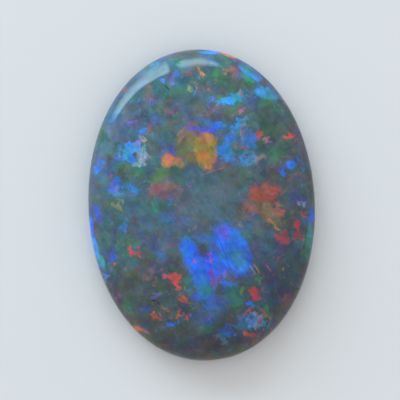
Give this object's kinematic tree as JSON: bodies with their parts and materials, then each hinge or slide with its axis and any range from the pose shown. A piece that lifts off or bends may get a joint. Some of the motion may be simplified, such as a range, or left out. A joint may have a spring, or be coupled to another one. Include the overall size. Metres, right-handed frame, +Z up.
{
  "type": "opal cabochon",
  "caption": "Polished oval opal with a low dome, a girdle and a bevelled flat back, showing broad and fine play of colour.",
  "frame": {"origin": "middle of the flat base, on the surface that the stone rests on", "axes": "+Z up through the dome, Y along the stone's length, X across its width"},
  "size_m": [0.0132, 0.018, 0.003],
  "materials": {
    "opal": "high gem polish over a translucent dusky blue-green body, with blue, green, orange and red play of colour"
  },
  "bodies": {
    "root": {"opal": "opal"}
  },
  "joints": []
}
